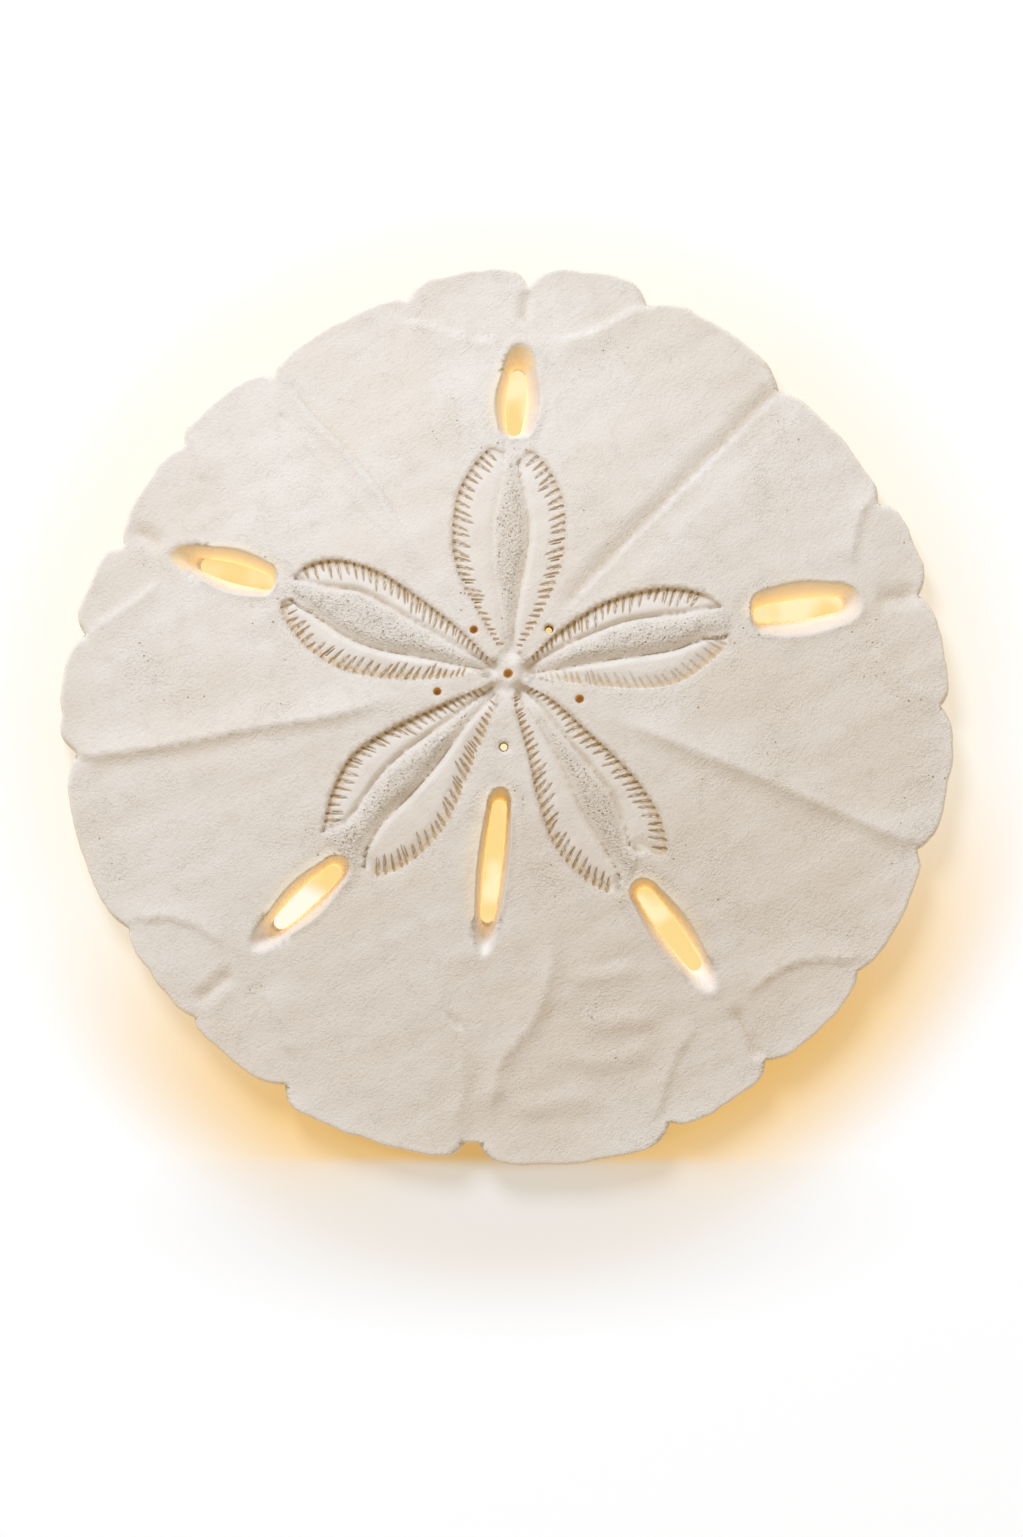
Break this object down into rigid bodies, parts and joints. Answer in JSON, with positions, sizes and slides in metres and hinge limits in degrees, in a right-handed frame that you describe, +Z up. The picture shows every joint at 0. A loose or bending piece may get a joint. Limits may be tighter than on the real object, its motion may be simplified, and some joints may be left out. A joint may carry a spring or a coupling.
{
  "type": "sand dollar",
  "caption": "Keyhole sand dollar test: a domed, scalloped calcite disc with a star of petals, narrow slots through the plate and a flat underside to rest on",
  "frame": {"origin": "on the plane that the underside rests on, below the middle of the scalloped outline's bounding box", "axes": "+Z up out of the petal face, +Y from the middle towards the top petal and its slot, away from the rear slot between the two lower petals, +X to the right when looking down on the petals"},
  "size_m": [0.1211, 0.1219, 0.0135],
  "materials": {
    "calcite": "matte"
  },
  "bodies": {
    "root": {"sand_dollar": "calcite"}
  },
  "joints": []
}
